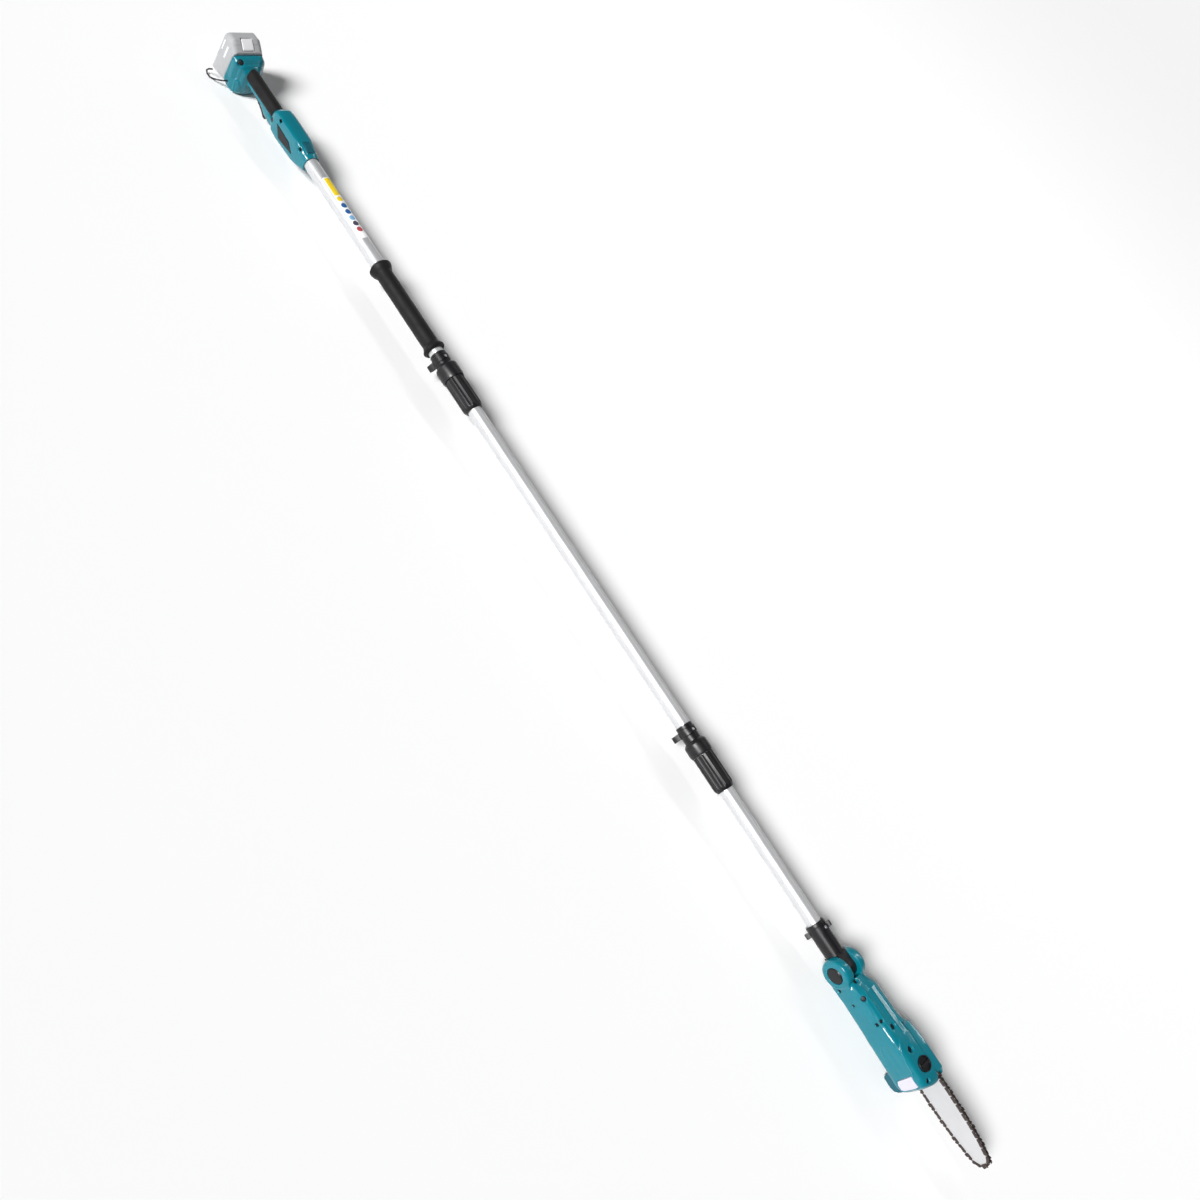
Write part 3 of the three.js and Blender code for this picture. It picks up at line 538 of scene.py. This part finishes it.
def spot(points, normals, along, angle, middle):
    """The skin's place and facing at a distance along the pole and an angle from the top."""
    turn = math.radians(angle)
    ray = np.array((math.sin(turn), 0, math.cos(turn)))
    rel = points - np.array((0, along, middle))
    reach = rel @ ray
    off = np.linalg.norm(rel - np.outer(reach, ray), axis=1)
    outside = (reach > 8) & (normals @ ray > 0.2)
    best = np.where(outside, off - reach * 0.05, 1e9).argmin()
    close = outside & (np.linalg.norm(points - points[best], axis=1) < 2.5)
    facing = normals[close].mean(0)
    return points[best].copy(), facing / np.linalg.norm(facing)


def outwards(x, z, middle=0):
    """Unit vectors straight away from the pole's axis."""
    away = np.stack([x, np.zeros_like(x), z - middle], 1)
    return away / np.maximum(np.linalg.norm(away, axis=1), 1e-6)[:, None]


def sunk(points, place, facing, radius, depth):
    """Points pushed in along -facing inside a round pocket."""
    rel = points - place
    along = rel @ facing
    off = np.linalg.norm(rel - np.outer(along, facing), axis=1)
    share = smoothstep((radius - off) / 1.1) * ((along > -9) & (along < 5))
    return points - np.outer(share * depth, facing)


SCREWS = {"head": [], "handle": []}  # place, facing, radius and depth of each pocket
# y, angle from the top, radius, depth
HEAD_PITS = [
    (841, 32, 5.2, 4.6), (872, 46.5, 5.4, 4.8), (876, 101, 3.6, 2.4), (844, 119, 4.2, 3),
    (919, 39, 4, 4), (921, 58, 4.2, 3.6), (938, 14, 5.7, 4.8), (985, 11.5, 6.4, 5.2),
    (1043, 22, 5, 4)]
HEAD_MIDDLE = 2  # height of the head's own axis
HEAD_DEGREE = 34 * math.pi / 180  # one degree round the head's skin, which has a radius near 34
# Raised lines along the head: height, angle from the top, half width, two ends and their fade.
HEAD_LINES = [(0.8, 0, 1.5, 856, 960, 8), (0.95, 28, 1.3, 852, 949, 7), (0.7, 49.5, 1.2, 846, 910, 12)]
CAP = (0.5, 1018.5, 14)  # the oil cap's x, y and radius
# The lower edge of the raised front part, and a rib below it that runs down to the tank's window:
# y and angle from the top.
CONTOUR = [(955, 20), (966, 33), (978, 43), (1000, 47), (1016, 48), (1026, 54), (1036, 63), (1062, 66)]
RIB = [(962, 66), (956, 80), (958, 94), (970, 106), (996, 118)]


def raised_part(y, angle):
    """The head's front part stands out, with a rim on the curved step at its lower edge."""
    line = np.interp(y, *zip(*CONTOUR))
    raised = smoothstep(0.5 + (line - angle) * HEAD_DEGREE / 2.6)
    step = (1.3 * raised - 0.5) * smoothstep((y - 952) / 12) * between(angle, -20, 104, 12)
    return step, 0.7 * ridge((angle - line + 2.4) * HEAD_DEGREE, 0.9) * between(y, 962, 1052, 8)


def side_rib(y, angle):
    """The rib below the raised part, and the swelling in front of it."""
    along, around = zip(*RIB)
    curve = np.interp(angle, around, along)
    rib = 0.7 * ridge(y - curve, 1.6) * between(angle, 64, 118, 6)
    front = smoothstep((y - curve) / 4) * smoothstep((1012 - y) / 10)
    return rib, 0.5 * front * between(angle, 68, 116, 8)


def carve_head(points, normals):
    """The head's skin with its raised lines, its stepped front part and its screw pockets."""
    x, y, z = points.T
    angle = np.degrees(np.arctan2(np.abs(x), z - HEAD_MIDDLE))
    skin = smoothstep(((normals * outwards(x, z, HEAD_MIDDLE)).sum(1) - 0.25) / 0.3)
    push = np.zeros(len(points))
    for height, turn, width, low, high, fade in HEAD_LINES:
        push += height * ridge((angle - turn) * HEAD_DEGREE, width) * between(y, low, high, fade)
    push += sum(raised_part(y, angle))
    push += 0.6 * ridge((y - 968) / 9, 1) * ridge((angle - 62) / 12, 1)  # a shallow swelling
    push += sum(side_rib(y, angle))
    push -= 0.25 * ridge((angle - 92) * HEAD_DEGREE, 0.7) * between(y, 880, 925, 4)  # a flow line
    cap = np.hypot(x - CAP[0], y - CAP[1]) - CAP[2]
    push += 1.1 * ridge(cap - 2.2, 1) * (normals[:, 2] > 0.5)  # a ring round the oil cap
    points = points + np.outer(push * skin, np.ones(3)) * normals
    for along, turn, radius, depth in HEAD_PITS:
        place, pointing = spot(points, normals, along, turn, HEAD_MIDDLE)
        points = sunk(points, place, pointing, radius, depth)
        SCREWS["head"].append((place, pointing, radius, depth))
    return points


HINGE_Y = 816
# Room for the tilt lock's button in the right ear: its radius, its floor, and where to look for both.
SOCKET_R, SOCKET_FLOOR = 16.5, 17
SOCKET_WALL_R, SOCKET_FLOORS = 14, (15.5, 20)


def clear_socket(points, normals):
    """Keeps the right ear's socket as wide and as deep as the pressed button needs."""
    across = points[:, 1:] - (HINGE_Y, 0)
    reach = np.linalg.norm(across, axis=1)
    near = (points[:, 0] > SOCKET_FLOORS[0]) & (points[:, 0] < SOCKET_FLOORS[1])
    floor = (reach < SOCKET_R) & (normals[:, 0] > 0.4) & near
    points[floor, 0] = np.minimum(points[floor, 0], SOCKET_FLOOR)
    inward = (normals[:, 1:] * across).sum(1) < 0
    wall = (reach > SOCKET_WALL_R) & (reach < SOCKET_R) & inward & (points[:, 0] > SOCKET_FLOOR)
    points[wall, 1:] += across[wall] * (SOCKET_R / reach[wall] - 1)[:, None]
    return points


BUTTON_RIM = (9.6, -1170, -1140.4)  # half its width, and its two ends along the pole
INLAY_EDGE = [(-1243, 4.5), (-1193, 2), (-1174, -12.5), (-1226, -19)]  # y and z
BELL_PIT = (-1402, 50, 6.8, 2.8)  # y, angle from the top, radius, depth
BODY_SCREWS = [(15.6, -1237, 16.5), (15.2, -1157, 15.5)]  # on the floors of the body's two pits
BODY_SCREW_R = 4.9


def line_distance(first, second, line):
    """Distance in a plane to a closed line through the given corners."""
    best = np.full(len(first), 1e9)
    for (a0, b0), (a1, b1) in zip(line, line[1:] + line[:1]):
        length = (a1 - a0) ** 2 + (b1 - b0) ** 2
        share = np.clip(((first - a0) * (a1 - a0) + (second - b0) * (b1 - b0)) / length, 0, 1)
        best = np.minimum(
            best, np.hypot(first - a0 - share * (a1 - a0), second - b0 - share * (b1 - b0)))
    return best


# Round the bell, between the battery's seat and the grip: height, y and half width of a valley, a
# rib and a groove.
BELL_LINES = [(-1.5, -1396.5, 3.4), (0.9, -1405, 2.2), (-0.6, -1414, 1.2)]


def rims(points, normals):
    """A rim round the rocker on top, and one round the inlay on each side."""
    x, y, z = points.T
    half, rear, front = BUTTON_RIM
    rocker = line_distance(x, y, [(-half, rear), (half, rear), (half, front), (-half, front)])
    rim = 1.1 * ridge(rocker, 0.9) * (normals[:, 2] > 0.5) * between(y, -1176, -1134, 3)
    inlay = line_distance(y, z, INLAY_EDGE)
    beside = (np.abs(normals[:, 0]) > 0.6) * between(y, -1250, -1165, 4)
    return rim, 0.5 * ridge(inlay - 1.3, 0.8) * beside


def shoulders(y, angle):
    """Raised lines along the front body's two shoulders and round its front end."""
    along = 0.9 * ridge((angle - 40) * 0.42, 1.1) * between(y, -1256, -1172, 8)
    slanted = angle - 62 + (y + 1172) * 0.5
    return along, 0.5 * ridge(slanted * 0.4, 1.2) * between(y, -1180, -1136, 8)


def carve_handle(points, normals):
    """The handle's skin with the lines round the bell, the rims and one more screw pocket."""
    x, y, z = points.T
    skin = smoothstep(((normals * outwards(x, z)).sum(1) - 0.3) / 0.3)
    above = smoothstep((z + 50) / 8)
    push = np.zeros(len(points))
    for height, place, width in BELL_LINES:
        push += height * ridge(y - place, width) * above
    push -= 1.2 * between(y, -1394, -1385, 4) * above  # a hollow between the bell and the grip
    push += sum(rims(points, normals))
    push += sum(shoulders(y, np.degrees(np.arctan2(np.abs(x), z))))
    points = points + np.outer(push * skin, np.ones(3)) * normals
    along, turn, radius, depth = BELL_PIT
    place, pointing = spot(points, normals, along, turn, 0)
    SCREWS["handle"].append((place, pointing, radius, depth))
    for screw in BODY_SCREWS:
        SCREWS["handle"].append((np.array(screw), np.array((1.0, 0, 0)), BODY_SCREW_R, 0))
    return sunk(points, place, pointing, radius, depth)


BATTERY_TILT = math.radians(-7.2)
RIM = np.array((0, -1421.5, -8.5))  # the battery's own origin, at its seat
BATTERY_FRAME = np.array(Matrix.Rotation(BATTERY_TILT, 3, "X"))


def battery_place(x, y, z):
    """A place in the battery's own frame, y towards the handle and z up its length."""
    return RIM + BATTERY_FRAME @ np.array((x, y, z))


BATTERY_CORNER = (36.5, 13)  # half the width, and the corner's radius
BATTERY_TOP = [(-46.4, 50), (-24, 55), (-0.3, 40.5)]  # y and z of its top line


def carve_battery(points, _normals):
    """Round corners at the top end, seen from the handle."""
    width, radius = BATTERY_CORNER
    local = (points - RIM) @ BATTERY_FRAME
    top = np.interp(local[:, 1], *zip(*BATTERY_TOP))
    sideways = np.maximum(np.abs(local[:, 0]) - (width - radius), 0)
    upwards = np.maximum(local[:, 2] - (top - radius), 0)
    reach = np.hypot(sideways, upwards)
    corner = (sideways > 0) & (upwards > 0)
    scale = np.where(corner, np.minimum(radius / np.maximum(reach, 1), 1), 1)
    local[:, 0] = np.where(
        sideways > 0, np.sign(local[:, 0]) * (width - radius + sideways * scale), local[:, 0])
    local[:, 2] = np.where(upwards > 0, top - radius + upwards * scale, local[:, 2])
    return RIM + local @ BATTERY_FRAME.T


LATCH_HALF = 13.7  # half the width of the latch button's pocket
LATCH_START = (-22, 44.6)  # y and z of the pocket's upper end, in the battery's frame
LATCH_ALONG, LATCH_OUT = np.array((0.861, -0.507)), np.array((0.507, 0.861))


def clear_latch(points, _normals):
    """Lowers the pocket's floor for the pressed latch button."""
    local = (points - RIM) @ BATTERY_FRAME
    flat = local[:, 1:] - LATCH_START
    along, above = flat @ LATCH_ALONG, flat @ LATCH_OUT
    floor = (np.abs(local[:, 0]) < LATCH_HALF) & (along > -2) & (along < 22) & (np.abs(above) < 1.6)
    lowered = np.minimum(above, -0.8) - above
    local[floor, 1:] += np.outer(lowered[floor], LATCH_OUT)
    return RIM + local @ BATTERY_FRAME.T


def make_housings():
    middle, across = np.zeros(3), np.array((1.0, 0, 0))
    names = ["rear_housing_left", "rear_housing_right"]
    skin = moulded(names, middle, across, carve_handle, 9)
    add_halves(skin, names, middle, across, "rear_handle", "teal")
    names = ["head_housing_left", "head_housing_right"]
    skin = moulded(names, middle, across, carve_head, clear=clear_socket)
    add_halves(skin, names, middle, across, "saw_head", "teal")
    names = ["battery_case", "battery_rail_plate"]
    point, along = battery_place(0, -14.15, 0), BATTERY_FRAME @ np.array((0, 1.0, 0))
    skin = moulded(names, point, along, carve_battery, 12, BATTERY_VOXEL, clear_latch)
    add_halves(skin, names, point, along, "battery", "grey", 0.25)


# ---- Small pieces ---------------------------------------------------------------------------------


def basis(facing):
    """Two directions across a facing, and the facing itself."""
    facing = Vector(facing).normalized()
    side = facing.orthogonal().normalized()
    return side, facing.cross(side), facing


def ring(grid, place, axes, outline, height):
    """An outline's corners at a height over a place."""
    side, up, facing = axes
    return [
        grid.verts.new(at(*(Vector(place) + side * a + up * b + facing * height)))
        for a, b in outline
    ]


def bridge(grid, first, second):
    """Side faces between two rings."""
    count = len(first)
    for i in range(count):
        grid.faces.new((first[i], first[(i + 1) % count], second[(i + 1) % count], second[i]))


def circle(radius, sides, lobes=0, depth=0.0):
    """A circle's corners, drawn in at the given number of lobes."""
    outline = []
    for i in range(sides):
        turn = 2 * math.pi * i / sides
        reach = radius - depth * (0.5 + 0.5 * math.cos(lobes * turn))
        outline.append((reach * math.cos(turn), reach * math.sin(turn)))
    return outline


def stack(grid, place, facing, layers):
    """A closed body from rings at rising heights: (outline, height) pairs."""
    axes = basis(facing)
    rings = [ring(grid, place, axes, outline, height) for outline, height in layers]
    grid.faces.new(rings[0][::-1])
    for low, high in zip(rings, rings[1:]):
        bridge(grid, low, high)
    grid.faces.new(rings[-1])


def add_screw(grid, place, facing, radius):
    """A round head with a six-lobed socket."""
    sides = 24
    stack(grid, place, facing, [
        (circle(radius, sides), 0), (circle(radius, sides), 0.7),
        (circle(radius * 0.86, sides), 1.1), (circle(radius * 0.5, sides, 6, radius * 0.1), 1.15),
        (circle(radius * 0.46, sides, 6, radius * 0.1), 0.35)])


def finished(grid, name, angle=40):
    bmesh.ops.recalc_face_normals(grid, faces=grid.faces)
    mesh = bpy.data.meshes.new(name)
    grid.to_mesh(mesh)
    grid.free()
    smooth_faces(mesh, angle)
    return mesh


def make_screws(housing, body, replaces):
    """A screw on the floor of each of a housing's pockets, dark with painted shade of the pocket."""
    grid = bmesh.new()
    for place, facing, radius, depth in SCREWS[housing]:
        add_screw(grid, place - facing * (depth - 0.1), facing, radius * 0.85)
    name = housing + "_screws"
    add_piece(name, finished(grid, name), body, replaces, ["dark_steel"])


# ---- Saw chain ------------------------------------------------------------------------------------

# The side view's outlines are (y, z), and those of the links (along the chain, away from the bar).
BAR_X = -20
BAR_EDGE = [(1038, 28.8), (1070, 29.2), (1112, 28.8), (1150, 27), (1176, 24.4), (1192, 21.6)]
SPROCKET_Y, SPROCKET_R = 985, 15
NOSE_Y, NOSE_R = 1205, 19
LINK = 8.6  # length of one link
DRIVE_HALF, STRAP_INNER, STRAP_OUTER = 1.5, 2.05, 3  # distances from the bar's middle plane
RIVET = [(0.9, 0), (1.1, 0.3), (1.1, 6.1), (0.9, 6.4)]  # radius and height
RIVET_START, RIVET_OUT = 3.2, 1.6  # how far left of the bar it starts, and away from the line
STRAP = [(-6.6, -3.2), (-8, -1.8), (-8, 2.6), (-5.4, 3.8), (-1.5, 2.8), (1.5, 2.8), (5.4, 3.8),
         (8, 2.6), (8, -1.8), (6.6, -3.2), (1.4, -2.8), (-1.4, -2.8)]
DRIVE = [(-3.8, 0.3), (3.8, 0.3), (5.4, 1.4), (4.2, 3), (-2, 3.6), (-5.4, 2.6), (-5.6, 1)]
CUTTER = [(-5.6, -3.4), (-6.8, -1), (-6.6, 4.2), (-5.8, 5.3), (-0.6, 4.9), (-0.2, 2.6), (1.8, 2.2),
          (3.4, 4.6), (5.2, 4.5), (6.8, 2), (6.8, -1.8), (5.4, -3.4)]
TOP_PLATE = [(-6, 4.3), (-6, 5.3), (-0.6, 4.9), (-0.9, 3.9)]
TOP_INNER, TOP_OUTER = 0.6, 3.1  # past the middle plane, and out on the cutter's side


def chain_line():
    """Close points round the sprocket, along the bar's lower edge, round its nose and back."""
    line = []
    for i in range(25):
        turn = math.pi * (0.5 + i / 24)
        line.append((SPROCKET_Y + SPROCKET_R * math.cos(turn), SPROCKET_R * math.sin(turn)))
    line += [(y, -z) for y, z in BAR_EDGE]
    for i in range(37):
        turn = math.pi * (-0.4 + 0.8 * i / 36)
        line.append((NOSE_Y + NOSE_R * math.cos(turn), NOSE_R * math.sin(turn)))
    line += BAR_EDGE[::-1]
    return np.array(line + line[:1], float)


def along_chain(line, distance):
    """The place at a distance along the closed line."""
    steps = np.linalg.norm(np.diff(line, axis=0), axis=1)
    travelled = np.concatenate([[0], np.cumsum(steps)])
    distance = distance % travelled[-1]
    return np.array([np.interp(distance, travelled, line[:, k]) for k in (0, 1)])


def add_plate(grid, outline, centre, forward, outward, x0, x1):
    """A flat link of the given outline, from x0 to x1."""
    rings = []
    for x in (x0, x1):
        rings.append([
            grid.verts.new(at(x, *(centre + forward * u + outward * v))) for u, v in outline])
    grid.faces.new(rings[0])
    grid.faces.new(rings[1][::-1])
    bridge(grid, rings[0], rings[1])


def add_rivets(grid, centre, forward, outward, pitch):
    """The two rivets at a link's ends."""
    for shift in (-pitch / 2, pitch / 2):
        hub = centre + forward * shift + outward * RIVET_OUT
        layers = [(circle(radius, 10), height) for radius, height in RIVET]
        stack(grid, (BAR_X - RIVET_START, *hub), (1, 0, 0), layers)


def make_chain():
    """Drive links between pairs of straps, each pair with a cutter on one side in turn."""
    line = chain_line()
    total = np.linalg.norm(np.diff(line, axis=0), axis=1).sum()
    count = int(round(total / LINK / 6)) * 6
    pitch = total / count
    grid = bmesh.new()
    for i in range(count):
        centre = along_chain(line, i * pitch)
        forward = along_chain(line, i * pitch + 3) - along_chain(line, i * pitch - 3)
        forward /= np.linalg.norm(forward)
        outward = np.array((forward[1], -forward[0]))
        place = (centre, forward, outward)
        if i % 2:
            add_plate(grid, DRIVE, *place, BAR_X - DRIVE_HALF, BAR_X + DRIVE_HALF)
            continue
        cutter = 1 if i % 4 == 0 else -1
        for side in (-1, 1):
            inner, outer = BAR_X + side * STRAP_INNER, BAR_X + side * STRAP_OUTER
            add_plate(grid, CUTTER if side == cutter else STRAP, *place, *sorted((inner, outer)))
        edges = sorted((BAR_X - cutter * TOP_INNER, BAR_X + cutter * TOP_OUTER))
        add_plate(grid, TOP_PLATE, *place, *edges)
        add_rivets(grid, *place, pitch)
    add_piece("chain_links", finished(grid, "chain_links", 30), "saw_head",
              ["saw_chain"], ["chain"])


# ---- Label on the rear tube, and pale ribs on the battery, partly painted highlight ---------------

TUBE_R = 15.8
LABEL_MIDDLE = math.radians(117)  # from the tool's right, over the top
LABEL_LAYER = 0.08  # thickness of the sheet, and of the colour fields on it
DISC_ROWS = [(-1018, 1), (-1000, 2), (-983, 2), (-966, 3), (-951, 4), (-935, 5)]  # y, colour
DISC_ARC, DISC_R = 8, 6.4


def bent(grid, along, arc, radius):
    turn = LABEL_MIDDLE + arc / TUBE_R
    return grid.verts.new(at(radius * math.cos(turn), along, radius * math.sin(turn)))


def wrapped(grid, outline, lift, material):
    """A thin patch bent round the rear tube. The outline is (along the pole, along the arc)."""
    low = [bent(grid, y, arc, TUBE_R + 0.01) for y, arc in outline]
    high = [bent(grid, y, arc, TUBE_R + lift + LABEL_LAYER) for y, arc in outline]
    faces = [grid.faces.new(low[::-1]), grid.faces.new(high)]
    for i in range(len(low)):
        j = (i + 1) % len(low)
        faces.append(grid.faces.new((low[i], low[j], high[j], high[i])))
    for face in faces:
        face.material_index = material


def add_strip(grid, y0, y1, arc0, arc1, lift, material, steps=12):
    """A rectangle cut into strips across the arc, so that it bends."""
    across = [arc0 + (arc1 - arc0) * i / steps for i in range(steps + 1)]
    for a0, a1 in zip(across, across[1:]):
        wrapped(grid, [(y0, a0), (y0, a1), (y1, a1), (y1, a0)], lift, material)


def add_disc(grid, y, arc, radius, material, steps=14):
    """A disc cut into strips across the arc, so that it bends."""
    edges = [radius * math.cos(math.pi * (1 - i / steps)) for i in range(steps + 1)]
    halves = [max(math.sqrt(max(radius ** 2 - e ** 2, 0)), 0.4) for e in edges]
    for i in range(steps):
        a0, a1, h0, h1 = arc + edges[i], arc + edges[i + 1], halves[i], halves[i + 1]
        outline = [(y - h0, a0), (y - h1, a1), (y + h1, a1), (y + h0, a0)]
        wrapped(grid, outline, LABEL_LAYER, material)


def make_label():
    grid = bmesh.new()
    add_strip(grid, -1078, -912, -16.5, 16.5, 0, 0)
    add_strip(grid, -1076, -1028, -14, 14, LABEL_LAYER, 1)
    for y, material in DISC_ROWS:
        for arc in (-DISC_ARC, DISC_ARC):
            add_disc(grid, y, arc, DISC_R, material)
    mesh = finished(grid, "tube_label", 60)
    for face in mesh.polygons:
        face.use_smooth = False
    add_piece("tube_label", mesh, "rear_handle", (), [
        "label_white", "label_yellow", "label_blue", "label_sky", "label_dark", "label_red"])


RIB_INNER, RIB_OUTER, RIB_BEVEL = 36.9, 38.1, 0.5  # distances from the battery's middle plane
BATTERY_RIBS = [(-24, -19.5, 4, 34), (-39, -35.5, 12, 38)]  # two y and two z in its frame


def add_rib(grid, side, y0, y1, z0, z1):
    """A bar on the battery's side, its outer edges cut back."""
    loops = []
    for x, cut in ((RIB_INNER, 0), (RIB_OUTER - RIB_BEVEL * 0.6, 0), (RIB_OUTER, RIB_BEVEL)):
        rear, front, low, high = y0 + cut, y1 - cut, z0 + cut, z1 - cut
        corners = [(rear, low), (front, low), (front, high), (rear, high)]
        loops.append([grid.verts.new(at(*battery_place(side * x, y, z))) for y, z in corners])
    grid.faces.new(loops[0][::-1])
    bridge(grid, loops[0], loops[1])
    bridge(grid, loops[1], loops[2])
    grid.faces.new(loops[2])


def make_battery_ribs():
    grid = bmesh.new()
    for side in (-1, 1):
        for corners in BATTERY_RIBS:
            add_rib(grid, side, *corners)
    mesh = finished(grid, "battery_ribs")
    # The ribs are pale: partly label strips, partly painted highlight along the side's chamfers.
    add_piece("battery_ribs", mesh, "battery", (), ["pale"])


make_camera()
make_studio()
make_looks()
dress_nodes()
make_housings()
make_screws("head", "saw_head", [])
make_screws("handle", "rear_handle", ["housing_screw_1", "housing_screw_2"])
make_chain()
make_label()
make_battery_ribs()
